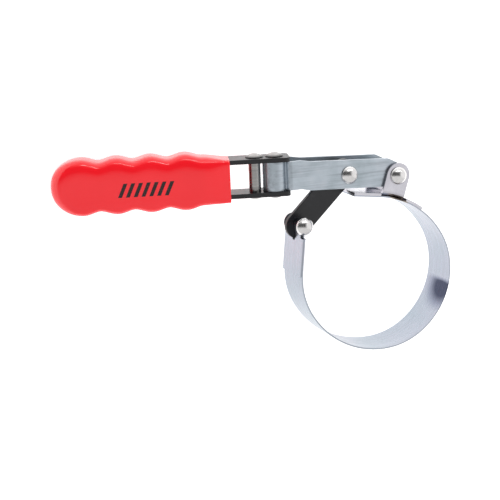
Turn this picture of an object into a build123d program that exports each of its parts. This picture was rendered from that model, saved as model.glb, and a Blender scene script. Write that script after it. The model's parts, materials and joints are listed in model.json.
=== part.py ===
"""Swivel-handle oil filter wrench, built as separate named sub-parts.

Frame: origin on the filter's axis, half-way across the band; +Z along the filter's axis, +Y along
the swivel pin. Lengths are in millimetres and angles in degrees.
"""
import math
import os

from build123d import *

# ---- band: an oval of four tangent arcs around the filter, open between its two ends
FILTER_R = 44.0        # the filter that the right-hand arc seats on
BAND_T = 0.8           # spring-steel strip thickness
BAND_W = 24.0          # strip width along the filter's axis
OVAL_SPREAD = 14.4     # from a small arc's centre to a large arc's centre
OVAL_TILT = -30.0      # direction of the oval's long axis
OVAL_JOIN = 60.0       # half the angle that each small arc spans
STRAIGHT_FROM = 81.5   # the clip's end runs straight from here, seen from the upper arc's centre
STRAIGHT_L = 18.0
TAIL_LEAN = 6.0        # the straight stretch leans this much towards the filter
FOLD_GAP = 0.15        # between the two layers of the folded end
FOLD_END_Y = 9.0       # where the folded layer stops
WELD_R = 2.0           # weld nuggets between the two layers
WELD_Y = (13.0, 22.0)

# ---- rivet positions in the XY plane
PIVOT = (-67.0, 69.3)  # swivel pin, its axis along Y
LINK_PIN = (-22.9, 65.7)   # link to bracket legs
CLIP_PIN = (8.9, 62.0)     # band clip to bracket legs
EYE_PIN = (-52.8, 38.2)    # link to the band's rolled end

# ---- swivel bracket, one bent strap
STRAP_T = 2.1
LEG_Z = 8.97           # outer face of each leg
STRAP_H = 16.7         # strap height where it passes between the handle's arms
LEG_H = 16.85          # height of the two legs
LEG_SLOPE = 4.1        # the legs dip this much below the pin's normal
LOOP_R = 5.0           # inside of the loop round the pin
NECK_R = 1.5           # bends where the loop turns into the step
JOG_X = 5.8            # mid-thickness of the step out to the legs, from the pin
LEG_BEND_R = 1.6
LEG_LEVEL = 13.0       # level up to here from the pin, so that the arms' ends pass
LEG_FROM = 19.0        # the full slope starts here
LEG_TOP_END = 70.2
LEG_LENGTH = 83.0

# ---- handle
SWIVEL = -18.05        # turn of the handle about the pin in the stored pose
ARM_GAP = 17.2
ARM_T = 2.6
ARM_W = 15.5
ARM_END = 8.4          # arms end this far past the pin
SPACER_X = -11.6
FRAME_BEND_X = -108.0  # centre of the closed end of the U
GRIP_OPEN_X = -26.3
GRIP_TIP_X = -128.5
LOBE_X = -110.5        # widest point of the first lobe
LOBE_PITCH = 19.6
LOBES = 4
LOBE_PEAK = 16.4       # half the grip's height over a lobe
LOBE_VALLEY = 14.2
GRIP_HALF_T = 11.0
GRIP_CORNER = 4.8
GRIP_DROP = 0.4        # the grip sits this much lower than the frame in it
MOUTH_DROP = 1.0

# ---- fasteners
HEAD_R = 5.4
HEAD_H = 4.0
SHANK_R = 3.0
ARM_HEAD_R = 5.2
ARM_HEAD_H = 2.2
ARM_SHANK_R = 2.5
SLEEVE_R = 3.5         # sleeve between the arms
SPACER_R = 5.0         # sleeves between the legs
RUN = 0.05             # radial running clearance
SIDE = 0.3             # side clearance between bodies

# ---- link and clip
LINK_T = 2.8
LINK_W = 15.6
LINK_TIP = 0.8         # rounded ends' centres, past the two pins
LINK_OUT = 2.9         # slot travel past the pin, away from the band
LINK_IN = 1.8          # slot travel towards the band
SLOT_PLAY = 0.22       # radial play of the pin in the slot, for the opened linkage
KNUCKLE_Z = 8.3        # outer face of the rolled end
KNUCKLE_Y = 31.8       # the strip narrows above this height
SLOT_Y = 29.2          # bottom of the slot that clears the link
EAR_T = 1.5
EAR_R = 7.6
EAR_BEND_R = 3.0       # outside of the fold from plate to ear
NOTCH = 1.3            # relief notches beside the ears
NOTCH_PAST = 0.3       # how far the notches run past the fold
PLATE_T = 1.5
PLATE_FROM = 52.0

os.makedirs("parts", exist_ok=True)


def polar(centre, radius, angle):
    a = math.radians(angle)
    return (centre[0] + radius * math.cos(a), centre[1] + radius * math.sin(a))


def save(builder, name):
    builder.part.label = name
    export_step(builder.part, f"parts/{name}.step")


# ---- arc centres of the oval
SMALL_R = FILTER_R + BAND_T / 2
LARGE_R = SMALL_R + OVAL_SPREAD
SMALL_1 = (0.0, 0.0)
UPPER_C = polar(SMALL_1, OVAL_SPREAD, OVAL_TILT + OVAL_JOIN + 180)
LOWER_C = polar(SMALL_1, OVAL_SPREAD, OVAL_TILT - OVAL_JOIN + 180)
SMALL_2 = (UPPER_C[0] + LOWER_C[0], UPPER_C[1] + LOWER_C[1])
LEFT_ANGLE = 180 - TAIL_LEAN
tail_foot = polar(SMALL_2, SMALL_R, LEFT_ANGLE)
lean = math.radians(TAIL_LEAN)
tail_up = (math.sin(lean), math.cos(lean))
tail_out = (-math.cos(lean), math.sin(lean))


def clip_straight(offset):
    """Straight end of the strip under the clip, offset outwards from its middle."""
    start = polar(UPPER_C, LARGE_R + offset, STRAIGHT_FROM)
    return (start, polar(start, STRAIGHT_L, STRAIGHT_FROM + 90))


def on_tail(height, layer):
    """Point on the straight stretch at a height; layer 1 is the folded layer outside."""
    along = (height - tail_foot[1]) / tail_up[1]
    shift = layer * (BAND_T + FOLD_GAP)
    return (
        tail_foot[0] + along * tail_up[0] + shift * tail_out[0],
        tail_foot[1] + along * tail_up[1] + shift * tail_out[1],
    )


def tangent_point(start, side):
    """Touching point on the eye's centre line of a line from start; side is +1 right, -1 left."""
    dx = EYE_PIN[0] - start[0]
    dy = EYE_PIN[1] - start[1]
    turn = math.atan2(dy, dx) - side * math.asin(EYE_R / math.hypot(dx, dy))
    return (
        EYE_PIN[0] + side * EYE_R * math.sin(turn),
        EYE_PIN[1] - side * EYE_R * math.cos(turn),
    )


EYE_R = SHANK_R + 2 * RUN + BAND_T / 2
neck = on_tail(31.6, 0)
fold_neck = on_tail(31.2, 1)
eye_in = tangent_point(neck, 1)
eye_out = tangent_point(fold_neck, -1)

# ---- band: strip, folded tail and rolled eye in one piece
with BuildPart() as band:
    with BuildSketch(Plane.XY.offset(-BAND_W / 2)):
        with BuildLine():
            Line(*clip_straight(0))
            CenterArc(UPPER_C, LARGE_R, OVAL_TILT + OVAL_JOIN, STRAIGHT_FROM - OVAL_TILT - OVAL_JOIN)
            CenterArc(SMALL_1, SMALL_R, OVAL_TILT - OVAL_JOIN, 2 * OVAL_JOIN)
            CenterArc(LOWER_C, LARGE_R, OVAL_TILT + OVAL_JOIN + 180, 180 - 2 * OVAL_JOIN)
            CenterArc(SMALL_2, SMALL_R, LEFT_ANGLE, OVAL_TILT + OVAL_JOIN + 180 - LEFT_ANGLE)
            Line(tail_foot, neck)
            Line(neck, eye_in)
            ThreePointArc(eye_in, (EYE_PIN[0], EYE_PIN[1] + EYE_R), eye_out)
            Line(eye_out, fold_neck)
            Line(fold_neck, on_tail(FOLD_END_Y, 1))
        trace(line_width=BAND_T)
    extrude(amount=BAND_W)
    # weld nuggets that hold the folded layer to the strip
    for height in WELD_Y:
        spot = on_tail(height, 0.5)
        for z in (-BAND_W / 4, BAND_W / 4):
            with Locations(Location((spot[0], spot[1], z), (0, 90, TAIL_LEAN))):
                Cylinder(WELD_R, BAND_T + FOLD_GAP)
    # the strip narrows to two knuckles beside the link
    eye_side = Plane(origin=(EYE_PIN[0] - 12, 0, 0), x_dir=(0, 1, 0), z_dir=(1, 0, 0))
    with BuildSketch(eye_side):
        for side in (-1, 1):
            with Locations(((KNUCKLE_Y + EYE_PIN[1] + 12) / 2, side * (KNUCKLE_Z + BAND_W) / 2)):
                RectangleRounded(EYE_PIN[1] + 12 - KNUCKLE_Y, BAND_W - KNUCKLE_Z, 1.5)
        with Locations(((SLOT_Y + EYE_PIN[1] + 12) / 2, 0)):
            RectangleRounded(EYE_PIN[1] + 12 - SLOT_Y, LINK_T + 2 * SIDE, 1.2)
    extrude(amount=24, mode=Mode.SUBTRACT)

# ---- rivets
AXIS_Y = (0, 1, 0)
turn = math.radians(SWIVEL)
HANDLE_X = Vector(math.cos(turn), 0, -math.sin(turn))
HANDLE_Z = Vector(math.sin(turn), 0, math.cos(turn))
PIVOT_3 = Vector(PIVOT[0], PIVOT[1], 0)


def across(pin):
    """Section plane of a rivet whose axis is parallel to Z: local x is radial, local y axial."""
    return Plane(origin=(pin[0], pin[1], 0), x_dir=(1, 0, 0), z_dir=(0, -1, 0))


def on_handle(x):
    """Section plane of a rivet through both arms: local x is along the handle, local y is +Y."""
    return Plane(origin=PIVOT_3 + HANDLE_X * x, x_dir=HANDLE_X, z_dir=HANDLE_Z)


def domed_rivet(plane, half_grip, shank_r, head_r, head_h):
    lip = 0.14 * head_h
    with BuildPart() as rivet:
        with BuildSketch(plane):
            with BuildLine():
                TangentArc((0, half_grip + head_h), (head_r, half_grip + lip), tangent=(1, 0))
                Polyline(
                    (head_r, half_grip + lip),
                    (head_r, half_grip),
                    (shank_r, half_grip),
                    (shank_r, -half_grip),
                    (head_r, -half_grip),
                    (head_r, -half_grip - lip),
                )
                TangentArc((0, -half_grip - head_h), (head_r, -half_grip - lip), tangent=(1, 0))
                Line((0, -half_grip - head_h), (0, half_grip + head_h))
            make_face()
        revolve(axis=Axis(plane.origin, plane.y_dir))
    return rivet


def tube(plane, low, high, outer, inner):
    """Sleeve round a rivet, between two stations along the rivet's axis."""
    with BuildPart() as sleeve:
        with BuildSketch(plane):
            with Locations(((outer + inner) / 2, (low + high) / 2)):
                Rectangle(outer - inner, high - low)
        revolve(axis=Axis(plane.origin, plane.y_dir))
    return sleeve


BORE_R = SHANK_R + RUN
EAR_IN = LEG_Z + SIDE
EAR_OUT = EAR_IN + EAR_T
LEG_IN = LEG_Z - STRAP_T
ARM_IN = ARM_GAP / 2
ARM_OUT = ARM_IN + ARM_T

link_rivet = domed_rivet(across(LINK_PIN), LEG_Z + RUN, SHANK_R, HEAD_R, HEAD_H)
clip_rivet = domed_rivet(across(CLIP_PIN), EAR_OUT + RUN, SHANK_R, HEAD_R, HEAD_H)
band_end_rivet = domed_rivet(across(EYE_PIN), KNUCKLE_Z + RUN, SHANK_R, HEAD_R, HEAD_H)
pivot_rivet = domed_rivet(on_handle(0), ARM_OUT, SHANK_R, ARM_HEAD_R, ARM_HEAD_H)
spacer_rivet = domed_rivet(on_handle(SPACER_X), ARM_OUT, ARM_SHANK_R, ARM_HEAD_R, ARM_HEAD_H)

# ---- sleeves that keep the pieces apart on the rivets
pivot_bushing = tube(on_handle(0), -ARM_IN, ARM_IN, LOOP_R - RUN, BORE_R)
spacer_sleeve = tube(on_handle(SPACER_X), -ARM_IN, ARM_IN, SLEEVE_R, ARM_SHANK_R + RUN)
clip_spacer = tube(across(CLIP_PIN), -LEG_IN, LEG_IN, SPACER_R, BORE_R)
with BuildPart() as link_spacers:
    with BuildSketch(across(LINK_PIN)):
        for side in (-1, 1):
            with Locations(((SPACER_R + BORE_R) / 2, side * (LEG_IN + LINK_T / 2 + RUN) / 2)):
                Rectangle(SPACER_R - BORE_R, LEG_IN - LINK_T / 2 - RUN)
    revolve(axis=Axis((LINK_PIN[0], LINK_PIN[1], 0), (0, 0, 1)))

# ---- link: flat plate, elongated at the bracket end
link_dx = LINK_PIN[0] - EYE_PIN[0]
link_dy = LINK_PIN[1] - EYE_PIN[1]
LINK_L = math.hypot(link_dx, link_dy)
link_plane = Plane(
    origin=(EYE_PIN[0], EYE_PIN[1], -LINK_T / 2), x_dir=(link_dx, link_dy, 0), z_dir=(0, 0, 1)
)
with BuildPart() as link_plate:
    with BuildSketch(link_plane):
        with Locations((LINK_L / 2, 0)):
            SlotCenterToCenter(LINK_L + 2 * LINK_TIP, LINK_W)
        Circle(BORE_R, mode=Mode.SUBTRACT)
        with Locations((LINK_L + (LINK_OUT - LINK_IN) / 2, 0)):
            SlotCenterToCenter(LINK_OUT + LINK_IN, 2 * (SHANK_R + SLOT_PLAY), mode=Mode.SUBTRACT)
    extrude(amount=LINK_T)
    link_faces = link_plate.faces().filter_by(Axis.Z)
    chamfer(link_faces.edges().sort_by(SortBy.LENGTH)[-8:], length=0.25)

# ---- swivel bracket: a strap bent round the pin bushing and stepped out to two legs
loop_mid = LOOP_R + STRAP_T / 2
leg_mid = LEG_Z - STRAP_T / 2
neck_z = math.sqrt((loop_mid + NECK_R) ** 2 - (JOG_X - NECK_R) ** 2)
neck_angle = math.degrees(math.atan2(neck_z, JOG_X - NECK_R))
leg_tilt = math.radians(LEG_SLOPE)


def on_leg(along, across_leg):
    """Point of the legs' side outline, measured from the pin along and across the slope."""
    return (
        along * math.cos(leg_tilt) + across_leg * math.sin(leg_tilt),
        across_leg * math.cos(leg_tilt) - along * math.sin(leg_tilt),
    )


with BuildPart() as swivel_bracket:
    with BuildSketch(across(PIVOT)):
        with BuildLine():
            CenterArc((0, 0), loop_mid, neck_angle, 360 - 2 * neck_angle)
        trace(line_width=STRAP_T)
        for side in (-1, 1):
            with BuildLine():
                ThreePointArc(
                    polar((0, 0), loop_mid, side * neck_angle),
                    (JOG_X - NECK_R, side * (neck_z - NECK_R)),
                    (JOG_X, side * neck_z),
                )
                Line((JOG_X, side * neck_z), (JOG_X, side * (leg_mid - LEG_BEND_R)))
                RadiusArc(
                    (JOG_X, side * (leg_mid - LEG_BEND_R)),
                    (JOG_X + LEG_BEND_R, side * leg_mid),
                    side * LEG_BEND_R,
                )
                Line((JOG_X + LEG_BEND_R, side * leg_mid), (LEG_LENGTH + 4, side * leg_mid))
            trace(line_width=STRAP_T)
    extrude(amount=LEG_H, both=True)
    # side outline: level round the pin, then sloping to rounded leg ends
    with BuildSketch(Plane(origin=(PIVOT[0], PIVOT[1], -LEG_Z - 1))) as leg_side:
        with BuildLine():
            Polyline(
                (-loop_mid - 4, STRAP_H / 2),
                (LEG_LEVEL, STRAP_H / 2),
                on_leg(LEG_FROM, LEG_H / 2),
                on_leg(LEG_TOP_END, LEG_H / 2),
                on_leg(LEG_LENGTH - 1.6, 3.4),
                on_leg(LEG_LENGTH, -3),
                on_leg(LEG_LENGTH - 3.4, -LEG_H / 2),
                on_leg(LEG_FROM, -LEG_H / 2),
                (LEG_LEVEL, -STRAP_H / 2),
                (-loop_mid - 4, -STRAP_H / 2),
                close=True,
            )
        make_face()
        fillet(leg_side.vertices().sort_by(Axis.X)[-4:], 2.4)
    extrude(amount=2 * LEG_Z + 2, mode=Mode.INTERSECT)
    for pin in (LINK_PIN, CLIP_PIN):
        with Locations((pin[0], pin[1], 0)):
            Cylinder(BORE_R, 4 * LEG_Z, mode=Mode.SUBTRACT)

# ---- band clip: curved saddle plate with two ears outside the legs
clip_dx = CLIP_PIN[0] - UPPER_C[0]
clip_dy = CLIP_PIN[1] - UPPER_C[1]
clip_angle = math.degrees(math.atan2(clip_dy, clip_dx))
clip_reach = math.hypot(clip_dx, clip_dy)
plate_in = LARGE_R + BAND_T / 2
plate_out = plate_in + PLATE_T
clip_up = polar((0, 0), 1.0, clip_angle)
clip_right = (clip_up[1], -clip_up[0])
clip_flat = Plane(origin=(CLIP_PIN[0], CLIP_PIN[1], 0), x_dir=(*clip_right, 0), z_dir=(0, 0, 1))
with BuildPart() as band_clip:
    with BuildSketch(Plane.XY.offset(-BAND_W / 2)):
        with BuildLine():
            Line(*clip_straight((BAND_T + PLATE_T) / 2))
            CenterArc(UPPER_C, plate_in + PLATE_T / 2, PLATE_FROM, STRAIGHT_FROM - PLATE_FROM)
        trace(line_width=PLATE_T)
    extrude(amount=BAND_W)
    # the plate is cut back where the ears are folded up, with a relief notch at each side
    for side in (-1, 1):
        with BuildSketch(clip_flat.offset(side * EAR_OUT)):
            with Locations((0, plate_in - clip_reach)):
                Rectangle(2 * EAR_R + 2 * NOTCH, 8)
        extrude(amount=side * BAND_W, mode=Mode.SUBTRACT)
        for flank in (-1, 1):
            with BuildSketch(clip_flat.offset(side * (EAR_OUT - EAR_BEND_R - NOTCH_PAST))):
                with Locations((flank * (EAR_R + NOTCH / 2), plate_in - clip_reach)):
                    Rectangle(NOTCH, 8)
            extrude(amount=side * BAND_W, mode=Mode.SUBTRACT)
        with BuildSketch(clip_flat.offset(side * EAR_IN)):
            Circle(EAR_R)
            with Locations((0, (plate_in - 1 - clip_reach) / 2)):
                Rectangle(2 * EAR_R, clip_reach - plate_in + 1)
        extrude(amount=side * EAR_T)
    with BuildSketch(Plane.XY.offset(-BAND_W)):
        with Locations(UPPER_C):
            Circle(plate_in)
    extrude(amount=2 * BAND_W, mode=Mode.SUBTRACT)
    # each fold is rounded on its inside first, then on its outside
    for radius, height, bend in (
        (plate_out, EAR_IN, EAR_BEND_R - EAR_T),
        (plate_in, EAR_OUT, EAR_BEND_R),
    ):
        arcs = band_clip.edges().filter_by(GeomType.CIRCLE)
        folds = [
            arc
            for arc in arcs
            if abs(arc.radius - radius) < 0.01 and abs(abs(arc.center().Z) - height) < 0.01
        ]
        fillet(folds, bend)
    with Locations((CLIP_PIN[0], CLIP_PIN[1], 0)):
        Cylinder(BORE_R, 4 * LEG_Z, mode=Mode.SUBTRACT)

# ---- handle frame: flat bar bent into a U, its closed end inside the grip
frame_side = Plane(origin=PIVOT_3 - HANDLE_Z * (ARM_W / 2), x_dir=HANDLE_X, z_dir=HANDLE_Z)
with BuildPart() as handle_frame:
    with BuildSketch(frame_side):
        with BuildLine():
            Line((ARM_END, ARM_IN + ARM_T / 2), (FRAME_BEND_X, ARM_IN + ARM_T / 2))
            CenterArc((FRAME_BEND_X, 0), ARM_IN + ARM_T / 2, 90, 180)
            Line((FRAME_BEND_X, -ARM_IN - ARM_T / 2), (ARM_END, -ARM_IN - ARM_T / 2))
        trace(line_width=ARM_T)
    extrude(amount=ARM_W)
    arm_ends = handle_frame.faces().sort_by(Axis(PIVOT_3, HANDLE_X))[-2:].edges()
    fillet(arm_ends.filter_by(Axis.Y), 2.8)
    for x, bore in ((0, BORE_R), (SPACER_X, ARM_SHANK_R + RUN)):
        with Locations(Location(PIVOT_3 + HANDLE_X * x, (90, 0, 0))):
            Cylinder(bore, 4 * ARM_IN, mode=Mode.SUBTRACT)

# ---- grip: lobed vinyl sleeve, open towards the pin
grip_sections = []
for reach in (0.0, 1.2, 3.5, 7.0, 12.0):
    fullness = 1 - (1 - (reach + 0.4) / (LOBE_X - GRIP_TIP_X + 0.4)) ** 2
    half_h = LOBE_PEAK * fullness**0.44
    half_t = GRIP_HALF_T * fullness**0.44
    corner = min(0.75 * half_t, GRIP_CORNER)
    grip_sections.append((GRIP_TIP_X + reach, half_h, half_t, corner, GRIP_DROP))
for step in range(LOBES * 4 - 1):
    wave = (1 + math.cos(math.pi * step / 2)) / 2
    half_h = LOBE_VALLEY + (LOBE_PEAK - LOBE_VALLEY) * wave**0.8
    x = LOBE_X + LOBE_PITCH * step / 4
    grip_sections.append((x, half_h, GRIP_HALF_T, GRIP_CORNER, GRIP_DROP))
grip_sections += [
    (GRIP_OPEN_X - 11.0, 13.4, 10.4, 4.2, 0.8),
    (GRIP_OPEN_X - 5.5, 13.0, 9.8, 3.2, 0.9),
    (GRIP_OPEN_X - 2.0, 12.8, 9.4, 2.4, MOUTH_DROP),
    (GRIP_OPEN_X, 12.6, 9.2, 2.0, MOUTH_DROP),
]
with BuildPart() as grip:
    for x, half_h, half_t, corner, drop in grip_sections:
        middle = PIVOT_3 + HANDLE_X * x - Vector(0, drop, 0)
        station = Plane(origin=middle, x_dir=AXIS_Y, z_dir=HANDLE_X)
        with BuildSketch(station):
            RectangleRounded(2 * half_h, 2 * half_t, corner)
    loft()
    with BuildSketch(frame_side):
        with Locations((FRAME_BEND_X, 0)):
            Circle(ARM_OUT)
        with Locations(((FRAME_BEND_X + GRIP_OPEN_X) / 2 + 2, 0)):
            Rectangle(GRIP_OPEN_X - FRAME_BEND_X + 4, 2 * ARM_OUT)
    extrude(amount=ARM_W, mode=Mode.SUBTRACT)

for name, piece in {
    "band": band,
    "band_clip": band_clip,
    "band_end_rivet": band_end_rivet,
    "clip_rivet": clip_rivet,
    "clip_spacer": clip_spacer,
    "link_plate": link_plate,
    "link_rivet": link_rivet,
    "link_spacers": link_spacers,
    "swivel_bracket": swivel_bracket,
    "pivot_bushing": pivot_bushing,
    "pivot_rivet": pivot_rivet,
    "spacer_rivet": spacer_rivet,
    "spacer_sleeve": spacer_sleeve,
    "handle_frame": handle_frame,
    "grip": grip,
}.items():
    save(piece, name)
    box = piece.part.bounding_box()
    print(name, len(piece.part.solids()), round(piece.part.volume), box.min, box.max)
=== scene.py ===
"""Looks for the swivel-handle oil filter wrench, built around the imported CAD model.

Lengths are in metres. The handle's frame has its origin on the swivel pin, x along the handle
towards the band, and y along the pin.
"""

import json
import math

import bmesh
import bpy
from mathutils import Matrix, Vector


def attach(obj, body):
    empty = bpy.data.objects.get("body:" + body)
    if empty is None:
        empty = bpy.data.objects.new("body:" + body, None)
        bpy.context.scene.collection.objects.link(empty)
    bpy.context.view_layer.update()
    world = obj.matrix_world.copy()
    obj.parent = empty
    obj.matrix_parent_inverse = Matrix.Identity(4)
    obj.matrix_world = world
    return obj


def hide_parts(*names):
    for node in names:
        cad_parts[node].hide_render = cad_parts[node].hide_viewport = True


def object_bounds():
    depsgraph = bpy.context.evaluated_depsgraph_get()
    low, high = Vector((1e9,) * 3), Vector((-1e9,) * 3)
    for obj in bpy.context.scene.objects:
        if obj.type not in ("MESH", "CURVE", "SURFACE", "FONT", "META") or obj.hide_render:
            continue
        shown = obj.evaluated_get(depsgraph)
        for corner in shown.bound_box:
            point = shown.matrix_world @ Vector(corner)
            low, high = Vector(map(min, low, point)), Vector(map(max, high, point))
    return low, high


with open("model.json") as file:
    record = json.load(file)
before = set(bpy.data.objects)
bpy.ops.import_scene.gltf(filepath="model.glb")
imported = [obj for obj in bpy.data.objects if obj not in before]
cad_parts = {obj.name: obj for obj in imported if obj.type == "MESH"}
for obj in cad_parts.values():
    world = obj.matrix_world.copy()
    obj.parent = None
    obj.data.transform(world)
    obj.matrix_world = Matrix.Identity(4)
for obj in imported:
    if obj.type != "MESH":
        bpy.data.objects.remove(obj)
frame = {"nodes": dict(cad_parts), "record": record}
CAD_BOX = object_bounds()
MM = 0.001

# ---- camera
CAMERA_AT = Vector((-0.3447, 0.2049, 0.6171))
VIEW_TURN = 23.8
VIEW_DIP = 13.3
VIEW_ROLL = -1.52
VIEW_SLOPE = 4.01
LENS = 85.74

# ---- white tent: (height along the camera's up or right direction, brightness)
STRIP_STOPS = ((-0.42, 1.0), (-0.26, 0.5), (-0.12, 0.08), (0.42, 0.08), (0.65, 0.6), (0.85, 1.0))
SIDE_STOPS = ((0.35, 0.0), (0.55, 0.4), (0.68, 1.0))
TONE_STOPS = ((-1.0, 0.8), (-0.5, 0.8), (-0.3, 1.0), (1.0, 1.0))

# ---- handle and grip
SWIVEL = -18.05
GRIP_OPEN_X = -26.3 * MM
GRIP_TIP_X = -128.4 * MM
LOBE_X = -110.5 * MM
LOBE_PITCH = 19.6 * MM
LOBES = 4
LOBE_PEAK = 16.3 * MM
LOBE_VALLEY = 14.1 * MM
GRIP_HALF_T = 10.9 * MM
MOUTH_HALF_H = 12.5 * MM
MOUTH_HALF_T = 9.2 * MM
BODY_DROP = 0.4 * MM
MOUTH_DROP = 1.0 * MM
BODY_POWER = 4.5
MOUTH_POWER = 11.0
FRAME_BEND_X = -108.0 * MM
CAVITY_HALF_H = 11.25 * MM
CAVITY_HALF_T = 7.8 * MM
RIM_R = 0.4 * MM
TIP_FULLNESS = 0.44
TIP_POWER = 2.3
CAVITY_POWER = 12.0

# ---- printed bars on the grip's front face
PRINT_X = -75.5 * MM
PRINT_Y = -2.0 * MM
BARS = 7
BAR_PITCH = 4.4 * MM
BAR_HEIGHT = 8.0 * MM
BAR_LEAN = 3.6 * MM
BAR_WIDTH = 2.2 * MM
PRINT_PROUD = 0.06 * MM

joint_at = {joint["name"]: Vector(joint["pos_m"]) for joint in frame["record"]["behaviour"]["joints"]}
PIVOT = joint_at["handle_swivel"]
CLIP_PIN = joint_at["band_pivot"]
HANDLE = Matrix.Translation(PIVOT) @ Matrix.Rotation(math.radians(SWIVEL), 4, "Y")


# ---- material helpers
class Shader:
    """A Principled material under construction, with short calls for the usual nodes."""

    def __init__(self, name):
        self.material = bpy.data.materials.new(name)
        self.material.use_nodes = True
        self.tree = self.material.node_tree
        self.surface = self.tree.nodes["Principled BSDF"]
        self.place = self.node("ShaderNodeTexCoord").outputs["Object"]

    def node(self, kind, **settings):
        made = self.tree.nodes.new(kind)
        for key, value in settings.items():
            setattr(made, key, value)
        return made

    def set(self, **values):
        for key, value in values.items():
            self.surface.inputs[key.replace("_", " ")].default_value = value

    def link(self, output, socket):
        self.tree.links.new(output, socket)

    def feed(self, output, name):
        self.link(output, self.surface.inputs[name])

    def scaled(self, scale):
        mapping = self.node("ShaderNodeMapping")
        mapping.inputs["Scale"].default_value = scale
        self.link(self.place, mapping.inputs["Vector"])
        return mapping.outputs["Vector"]

    def noise(self, scale, stretch=(1, 1, 1), detail=3.0, rough=0.55):
        made = self.node("ShaderNodeTexNoise")
        made.inputs["Scale"].default_value = scale
        made.inputs["Detail"].default_value = detail
        made.inputs["Roughness"].default_value = rough
        self.link(self.scaled(stretch), made.inputs["Vector"])
        return made.outputs["Fac"]

    def ramp(self, value, *stops):
        """Colour ramp; each stop is (position, colour) with a grey level or a triple as colour."""
        made = self.node("ShaderNodeValToRGB")
        elements = made.color_ramp.elements
        while len(elements) < len(stops):
            elements.new(0.5)
        for element, (at, colour) in zip(elements, stops):
            element.position = at
            element.color = (*colour, 1) if isinstance(colour, tuple) else (colour, colour, colour, 1)
        self.link(value, made.inputs["Fac"])
        return made.outputs["Color"]

    def math(self, operation, a, b=0.0):
        made = self.node("ShaderNodeMath", operation=operation)
        for socket, value in zip(made.inputs, (a, b)):
            if isinstance(value, (int, float)):
                socket.default_value = value
            else:
                self.link(value, socket)
        return made.outputs["Value"]

    def mix(self, factor, a, b, blend="MIX"):
        made = self.node("ShaderNodeMix", data_type="RGBA", blend_type=blend)
        colours = [socket for socket in made.inputs if socket.type == "RGBA"]
        for socket, value in ((made.inputs["Factor"], factor), (colours[0], a), (colours[1], b)):
            if isinstance(value, (int, float)):
                socket.default_value = value
            elif isinstance(value, tuple):
                socket.default_value = (*value, 1)
            else:
                self.link(value, socket)
        return next(socket for socket in made.outputs if socket.type == "RGBA")

    def axis(self, name):
        made = self.node("ShaderNodeSeparateXYZ")
        self.link(self.place, made.inputs["Vector"])
        return made.outputs[name]

    def near(self, point, radius, squeeze=(1, 1, 1)):
        """1 at a point of the object, falling smoothly to 0 at a radius from it."""
        offset = self.node("ShaderNodeVectorMath", operation="SUBTRACT")
        self.link(self.place, offset.inputs[0])
        offset.inputs[1].default_value = point
        scaled = self.node("ShaderNodeVectorMath", operation="MULTIPLY")
        self.link(offset.outputs["Vector"], scaled.inputs[0])
        scaled.inputs[1].default_value = squeeze
        length = self.node("ShaderNodeVectorMath", operation="LENGTH")
        self.link(scaled.outputs["Vector"], length.inputs[0])
        fall = self.node("ShaderNodeMapRange", interpolation_type="SMOOTHSTEP")
        self.link(length.outputs["Value"], fall.inputs["Value"])
        fall.inputs["From Min"].default_value = radius
        fall.inputs["From Max"].default_value = 0
        return fall.outputs["Result"]

    def bump(self, height, strength, distance):
        made = self.node("ShaderNodeBump")
        made.inputs["Strength"].default_value = strength
        made.inputs["Distance"].default_value = distance
        self.link(height, made.inputs["Height"])
        self.feed(made.outputs["Normal"], "Normal")


def zinc_plate():
    """Bluish zinc on rolled strip: fine streaks along the strip, cloudy patches, a punch mark."""
    s = Shader("zinc_plate")
    s.set(Metallic=1.0)
    cloud = s.noise(70, detail=4)
    streak = s.noise(60, stretch=(0.35, 9, 9), detail=5, rough=0.7)
    zinc = (0.3, (0.40, 0.46, 0.50)), (0.55, (0.50, 0.555, 0.61)), (0.75, (0.57, 0.60, 0.65))
    tone = s.ramp(cloud, *zinc)
    lines = s.ramp(streak, (0.32, 0.78), (0.5, 1.0), (0.7, 1.08))
    s.feed(s.mix(1.0, tone, lines, "MULTIPLY"), "Base Color")
    s.feed(s.ramp(streak, (0.3, 0.42), (0.7, 0.27)), "Roughness")
    mark = s.near(PIVOT + Vector((30.4, 4.2, 9.0)) * MM, 1.0 * MM)
    s.bump(s.math("SUBTRACT", s.math("MULTIPLY", streak, 0.35), mark), 0.35, 0.2 * MM)
    return s.material


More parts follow.
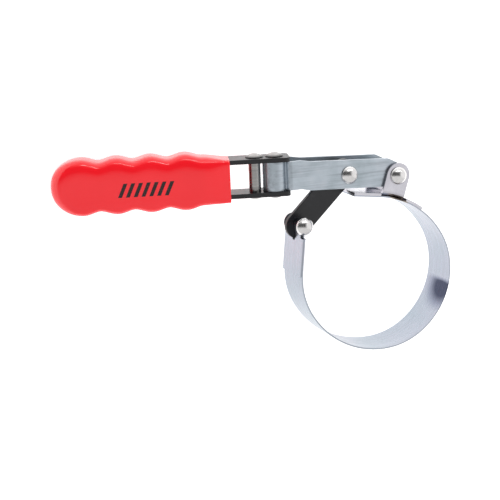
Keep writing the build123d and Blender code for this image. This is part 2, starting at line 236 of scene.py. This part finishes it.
def band_steel():
    """Bright spring steel, rolled along the strip, brown with heat tint and painted shade under the clip's
    bend, and a painted dark reflection inside.
    """
    s = Shader("band_steel")
    s.set(Metallic=1.0)
    lines = s.noise(55, stretch=(0.3, 0.3, 14), detail=5, rough=0.7)
    cloud = s.noise(28, detail=3)
    tone = s.ramp(cloud, (0.35, (0.41, 0.46, 0.52)), (0.65, (0.47, 0.49, 0.56)))
    grain = s.ramp(lines, (0.3, 0.92), (0.55, 1.0), (0.75, 1.03))
    steel = s.mix(1.0, tone, grain, "MULTIPLY")
    # Brown heat tint beside the clip, darkened into painted shade under the clip's bend.
    heat_tint_and_shade = s.ramp(
        s.near(CLIP_PIN + Vector((1.5, -11.5, 12.0)) * MM, 10.5 * MM, (0.95, 1.2, 1.0)),
        (0.1, (1.0, 1.0, 1.0)),
        (0.3, (0.80, 0.66, 0.50)),
        (0.6, (0.20, 0.15, 0.11)),
    )
    # Painted reflection: a dark patch on the band's inside right, only where y is below -7.5 mm.
    below = s.node("ShaderNodeMapRange")
    s.link(s.axis("Y"), below.inputs["Value"])
    below.inputs["From Min"].default_value = -7.5 * MM
    below.inputs["From Max"].default_value = -10.5 * MM
    reflection_spot = s.near(Vector((42.0, -13.5, 6.5)) * MM, 17.5 * MM, (0.8, 1.0, 0.85))
    painted_reflection = s.ramp(
        s.math("MULTIPLY", reflection_spot, below.outputs["Result"]),
        (0.0, (1.0, 1.0, 1.0)),
        (0.35, (0.60, 0.61, 0.68)),
        (0.75, (0.14, 0.15, 0.21)),
    )
    tinted = s.mix(1.0, steel, heat_tint_and_shade, "MULTIPLY")
    s.feed(s.mix(1.0, tinted, painted_reflection, "MULTIPLY"), "Base Color")
    s.feed(s.ramp(lines, (0.3, 0.32), (0.7, 0.24)), "Roughness")
    s.bump(lines, 0.06, 0.1 * MM)
    return s.material


def clip_steel():
    """Bright plated saddle: pale, faintly violet, glossier than the strip under it."""
    s = Shader("clip_steel")
    s.set(Metallic=1.0)
    cloud = s.noise(90, detail=4)
    grain = s.noise(300, detail=3)
    s.feed(s.ramp(cloud, (0.3, (0.54, 0.53, 0.58)), (0.7, (0.67, 0.66, 0.71))), "Base Color")
    s.feed(s.ramp(grain, (0.3, 0.24), (0.7, 0.14)), "Roughness")
    s.bump(cloud, 0.10, 0.1 * MM)
    return s.material


def rivet_nickel():
    """Polished formed heads: nearly mirror bright, faintly cloudy, with small pits."""
    s = Shader("rivet_nickel")
    s.set(Metallic=1.0)
    pits = s.noise(900, detail=2)
    cloud = s.noise(220, detail=2)
    s.feed(s.ramp(cloud, (0.3, (0.74, 0.725, 0.72)), (0.7, (0.83, 0.815, 0.81))), "Base Color")
    s.feed(s.ramp(cloud, (0.3, 0.26), (0.7, 0.19)), "Roughness")
    s.bump(s.ramp(pits, (0.62, 1.0), (0.75, 0.0)), 0.12, 0.05 * MM)
    return s.material


def rivet_dark():
    """Phosphated heads: dark at the rim, rubbed to bare steel on the crown."""
    s = Shader("rivet_dark")
    s.set(Metallic=1.0)
    grain = s.noise(500, detail=3)
    height = s.math("ABSOLUTE", s.math("SUBTRACT", s.axis("Y"), PIVOT.y))
    crown = s.node("ShaderNodeMapRange", interpolation_type="SMOOTHSTEP")
    s.link(height, crown.inputs["Value"])
    crown.inputs["From Min"].default_value = 11.3 * MM
    crown.inputs["From Max"].default_value = 12.9 * MM
    bare = s.ramp(grain, (0.3, (0.36, 0.35, 0.34)), (0.7, (0.52, 0.51, 0.50)))
    s.feed(s.mix(crown.outputs["Result"], (0.02, 0.02, 0.022), bare), "Base Color")
    s.feed(s.ramp(grain, (0.3, 0.40), (0.7, 0.28)), "Roughness")
    s.bump(grain, 0.15, 0.05 * MM)
    return s.material


def sleeve_steel():
    """Plated tube with fine scratches round it."""
    s = Shader("sleeve_steel")
    s.set(Metallic=1.0)
    rings = s.noise(160, stretch=(0.2, 6, 0.2), detail=4, rough=0.65)
    s.feed(s.ramp(rings, (0.3, (0.33, 0.325, 0.32)), (0.7, (0.42, 0.41, 0.40))), "Base Color")
    s.feed(s.ramp(rings, (0.3, 0.36), (0.7, 0.22)), "Roughness")
    s.bump(rings, 0.12, 0.1 * MM)
    return s.material


def black_finish():
    """Satin black over steel, slightly pebbled and rubbed paler in places."""
    s = Shader("black_finish")
    s.set(Metallic=0.0, Specular_IOR_Level=0.5)
    pebble = s.noise(1100, detail=2)
    rub = s.noise(120, detail=5, rough=0.7)
    black = (0.35, (0.006, 0.006, 0.008)), (0.62, (0.010, 0.010, 0.013)), (0.8, (0.04, 0.04, 0.045))
    s.feed(s.ramp(rub, *black), "Base Color")
    s.feed(s.ramp(rub, (0.3, 0.36), (0.75, 0.26)), "Roughness")
    s.bump(pebble, 0.12, 0.04 * MM)
    return s.material


def grip_vinyl():
    """Glossy dipped vinyl: bright red with a faint painted glow, orange peel, slightly uneven depth."""
    s = Shader("grip_vinyl")
    s.set(Metallic=0.0, Coat_Weight=0.25, Coat_Roughness=0.08, Specular_IOR_Level=0.5)
    # Painted light: a faint red emission makes the vinyl brighter than the lamps light it.
    s.set(Emission_Color=(1, 0.02, 0.03, 1), Emission_Strength=0.19)
    depth = s.noise(45, detail=3)
    peel = s.noise(420, detail=2)
    red = s.ramp(depth, (0.3, (0.93, 0.006, 0.014)), (0.7, (1.0, 0.010, 0.020)))
    s.feed(red, "Base Color")
    s.feed(s.ramp(depth, (0.3, 0.13), (0.7, 0.18)), "Roughness")
    s.bump(peel, 0.06, 0.12 * MM)
    return s.material


def grip_ink():
    """Satin black print, worn thin in specks."""
    s = Shader("grip_ink")
    s.set(Metallic=0.0)
    wear = s.noise(700, detail=4)
    s.feed(s.ramp(wear, (0.60, (0.02, 0.008, 0.009)), (0.75, (0.20, 0.01, 0.015))), "Base Color")
    s.feed(s.ramp(wear, (0.4, 0.38), (0.7, 0.28)), "Roughness")
    return s.material


SLOTS = {
    "band_steel": band_steel(),
    "zinc_plate": zinc_plate(),
    "rivet_nickel": rivet_nickel(),
    "rivet_dark": rivet_dark(),
    "sleeve_steel": sleeve_steel(),
    "black_finish": black_finish(),
    "grip_vinyl": grip_vinyl(),
}
OWN_FINISH = {"band_clip": clip_steel()}
BEVELS = {
    "swivel_bracket": 0.25,
    "band_clip": 0.3,
    "link_plate": 0.2,
    "handle_frame": 0.35,
    "spacer_sleeve": 0.25,
}


def dress(node, material):
    """Gives a CAD node its material and soft corners with hardened normals."""
    node.data.materials.clear()
    node.data.materials.append(material)
    width = BEVELS.get(node.name)
    if width:
        bevel = node.modifiers.new("soft_corners", "BEVEL")
        bevel.width = width * MM
        bevel.segments = 2
        bevel.limit_method = "ANGLE"
        bevel.angle_limit = math.radians(40)
        bevel.use_clamp_overlap = True
        bevel.harden_normals = True


for sub in frame["record"]["subparts"]:
    dress(frame["nodes"][sub["node"]], OWN_FINISH.get(sub["node"], SLOTS[sub["material_slot"]]))


# ---- grip
def smooth(t):
    """Smooth step from 0 to 1."""
    t = min(max(t, 0.0), 1.0)
    return t * t * (3 - 2 * t)


def to_mouth(x):
    """0 over the lobes, rising smoothly to 1 at the mouth."""
    last_valley = LOBE_X + (LOBES - 0.5) * LOBE_PITCH
    return smooth((x - last_valley) / (GRIP_OPEN_X - last_valley))


def grip_section(x):
    """Half height, half thickness, squareness and drop of the grip's outside at a place along it."""
    blend = to_mouth(x)
    wave = (1 + math.cos(2 * math.pi * (x - LOBE_X) / LOBE_PITCH)) / 2
    half_h = LOBE_VALLEY
    if x < LOBE_X + (LOBES - 0.5) * LOBE_PITCH:
        half_h += (LOBE_PEAK - LOBE_VALLEY) * wave**0.8
    half_h += (MOUTH_HALF_H - half_h) * blend
    half_t = GRIP_HALF_T + (MOUTH_HALF_T - GRIP_HALF_T) * blend
    power = BODY_POWER + (MOUTH_POWER - BODY_POWER) * blend**2
    if x < LOBE_X:
        full = 1 - (1 - (x - GRIP_TIP_X) / (LOBE_X - GRIP_TIP_X)) ** 2
        half_h = LOBE_PEAK * full**TIP_FULLNESS
        half_t *= full**TIP_FULLNESS
        power = TIP_POWER + (BODY_POWER - TIP_POWER) * full**2
    return half_h, half_t, power, BODY_DROP + (MOUTH_DROP - BODY_DROP) * blend


def ring(mesh, x, half_h, half_t, power, drop, count):
    """Adds one closed section of superelliptical outline."""
    made = []
    for i in range(count):
        a = 2 * math.pi * (i + 0.5) / count
        y = half_h * math.copysign(abs(math.cos(a)) ** (2 / power), math.cos(a)) - drop
        z = half_t * math.copysign(abs(math.sin(a)) ** (2 / power), math.sin(a))
        made.append(mesh.verts.new((x, y, z)))
    return made


def build_grip():
    """Dipped sleeve, closed at the tip and open at the mouth, with a rolled rim and real wall."""
    count = 96
    mesh = bmesh.new()
    rings = []
    tip_steps = 20
    for i in range(1, tip_steps):
        x = GRIP_TIP_X + (LOBE_X - GRIP_TIP_X) * (i / tip_steps) ** 1.8
        rings.append(ring(mesh, x, *grip_section(x), count))
    body_steps = 120
    body = GRIP_OPEN_X - RIM_R - LOBE_X
    for i in range(body_steps + 1):
        x = LOBE_X + body * i / body_steps
        rings.append(ring(mesh, x, *grip_section(x), count))
    for angle in (30, 60, 90, 120, 150, 180):
        back = RIM_R * (1 - math.cos(math.radians(angle)))
        x = GRIP_OPEN_X - RIM_R + RIM_R * math.sin(math.radians(angle))
        rim = (MOUTH_HALF_H - back, MOUTH_HALF_T - back, MOUTH_POWER, MOUTH_DROP)
        rings.append(ring(mesh, x, *rim, count))
    for i in range(25):
        x = GRIP_OPEN_X - 3.0 * RIM_R + (FRAME_BEND_X - CAVITY_HALF_H * 0.98 - GRIP_OPEN_X) * i / 24
        past_bend = max(FRAME_BEND_X - x, 0.0)
        half_h = math.sqrt(max(CAVITY_HALF_H**2 - past_bend**2, (1.0 * MM) ** 2))
        rings.append(ring(mesh, x, half_h, CAVITY_HALF_T, CAVITY_POWER, 0.0, count))
    for near, far in zip(rings, rings[1:]):
        for i in range(count):
            j = (i + 1) % count
            mesh.faces.new((near[i], near[j], far[j], far[i]))
    mesh.faces.new(rings[-1])
    tip = mesh.verts.new((GRIP_TIP_X, -BODY_DROP, 0))
    for i in range(count):
        mesh.faces.new((tip, rings[0][(i + 1) % count], rings[0][i]))
    bmesh.ops.recalc_face_normals(mesh, faces=mesh.faces)
    return finished("grip_sleeve", mesh, SLOTS["grip_vinyl"], HANDLE)


def front_of_grip(x, y):
    """Point just proud of the grip's front face, in the handle's frame."""
    half_h, half_t, power, drop = grip_section(x)
    inside = 1 - abs((y + drop) / half_h) ** power
    return (x, y, half_t * inside ** (1 / power) + PRINT_PROUD)


def build_print():
    """Plain decoration: a row of slanted bars printed on the grip's front face."""
    mesh = bmesh.new()
    for bar in range(BARS):
        start = PRINT_X + (bar - (BARS - 1) / 2) * BAR_PITCH
        rows = []
        for step in range(9):
            y = PRINT_Y + (step / 8 - 0.5) * BAR_HEIGHT
            left = start + (step / 8 - 0.5) * BAR_LEAN
            rows.append([mesh.verts.new(front_of_grip(left + part / 4 * BAR_WIDTH, y)) for part in range(5)])
        for low, high in zip(rows, rows[1:]):
            for part in range(4):
                mesh.faces.new((low[part], low[part + 1], high[part + 1], high[part]))
    return finished("grip_print", mesh, grip_ink(), HANDLE)


def finished(name, mesh, material, place):
    """Turns a bmesh, drawn in a local frame, into a smooth-shaded piece with a material."""
    data = bpy.data.meshes.new(name)
    mesh.transform(place)
    mesh.to_mesh(data)
    mesh.free()
    for face in data.polygons:
        face.use_smooth = True
    data.materials.append(material)
    piece = bpy.data.objects.new(name, data)
    bpy.context.scene.collection.objects.link(piece)
    return piece


grip = build_grip()
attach(grip, "handle")
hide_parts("grip")
print_bars = build_print()
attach(print_bars, "handle")


# ---- stage
def studio_white(name, level):
    """Matt white that glows a little, with the faintest unevenness."""
    s = Shader(name)
    grain = s.noise(12, detail=2)
    s.feed(s.ramp(grain, (0.3, level - 0.01), (0.7, level + 0.01)), "Base Color")
    s.set(Roughness=0.9, Specular_IOR_Level=0.1, Emission_Strength=0.7)
    s.set(Emission_Color=(1, 1, 1, 1))
    return s.material


def add_floor():
    """Plain floor at the lowest point of the CAD."""
    mesh = bmesh.new()
    bmesh.ops.create_grid(mesh, x_segments=4, y_segments=4, size=3)
    lowest = Matrix.Translation((0, 0, CAD_BOX[0].z))
    floor = finished("floor", mesh, studio_white("floor_white", 0.93), lowest)


def add_light(name, at, aim, size, power):
    data = bpy.data.lights.new(name, "AREA")
    data.shape = "RECTANGLE"
    data.size, data.size_y = size
    data.energy = power
    light = bpy.data.objects.new(name, data)
    light.location = at
    light.rotation_mode = "QUATERNION"
    light.rotation_quaternion = (Vector(at) - Vector(aim)).to_track_quat("Z", "Y")
    bpy.context.scene.collection.objects.link(light)


def camera_turn():
    """Rotation of the camera, and so of the tent's up and right directions."""
    return (
        Matrix.Rotation(math.radians(-VIEW_SLOPE), 4, "Z")
        @ Matrix.Rotation(math.radians(-VIEW_TURN), 4, "Y")
        @ Matrix.Rotation(math.radians(-VIEW_DIP), 4, "X")
        @ Matrix.Rotation(math.radians(-VIEW_ROLL), 4, "Z")
    )


def add_camera():
    data = bpy.data.cameras.new("camera")
    data.lens = LENS
    data.sensor_width = 36
    data.clip_start = 0.01
    data.clip_end = 20
    camera = bpy.data.objects.new("camera", data)
    camera.matrix_world = Matrix.Translation(CAMERA_AT) @ camera_turn()
    bpy.context.scene.collection.objects.link(camera)
    bpy.context.scene.camera = camera


def add_world():
    """White tent, with a dim strip above the lens for the polished heads to mirror."""
    world = bpy.data.worlds.new("tent")
    world.use_nodes = True
    tree = world.node_tree
    background = tree.nodes["Background"]
    direction = tree.nodes.new("ShaderNodeTexCoord").outputs["Generated"]
    tent_right, tent_up, _ = camera_turn().to_3x3().transposed()

    def shade(across, stops):
        """Brightness by height along one direction of the tent, from -1 to 1."""
        along = tree.nodes.new("ShaderNodeVectorMath")
        along.operation = "DOT_PRODUCT"
        along.inputs[1].default_value = across
        tree.links.new(direction, along.inputs[0])
        place = tree.nodes.new("ShaderNodeMath")
        place.operation = "MULTIPLY_ADD"
        place.inputs[1].default_value = 0.5
        place.inputs[2].default_value = 0.5
        tree.links.new(along.outputs["Value"], place.inputs[0])
        ramp = tree.nodes.new("ShaderNodeValToRGB")
        elements = ramp.color_ramp.elements
        while len(elements) < len(stops):
            elements.new(0.5)
        for element, (at, level) in zip(elements, stops):
            element.position = (at + 1) / 2
            element.color = (*level, 1) if isinstance(level, tuple) else (level, level, level, 1)
        tree.links.new(place.outputs["Value"], ramp.inputs["Fac"])
        return ramp.outputs["Color"]

    strip = shade(tent_up, STRIP_STOPS)
    only_left = shade(tent_right, SIDE_STOPS)
    tone = shade(tent_up, TONE_STOPS)
    lifted = tree.nodes.new("ShaderNodeMix")
    lifted.data_type = "RGBA"
    lifted.blend_type = "LIGHTEN"
    lifted.inputs["Factor"].default_value = 1.0
    tinted = tree.nodes.new("ShaderNodeMix")
    tinted.data_type = "RGBA"
    tinted.blend_type = "MULTIPLY"
    tinted.inputs["Factor"].default_value = 1.0
    result = strip
    for mix, second in ((lifted, only_left), (tinted, tone)):
        colours = [socket for socket in mix.inputs if socket.type == "RGBA"]
        tree.links.new(result, colours[0])
        tree.links.new(second, colours[1])
        result = next(socket for socket in mix.outputs if socket.type == "RGBA")
    tree.links.new(result, background.inputs["Color"])
    bpy.context.scene.world = world


add_floor()
add_light("key", (0.06, 0.9, 0.5), (-0.1, 0.05, 0), (0.9, 0.045), 2.2)
add_world()
add_camera()
bpy.context.scene.view_settings.view_transform = "Standard"
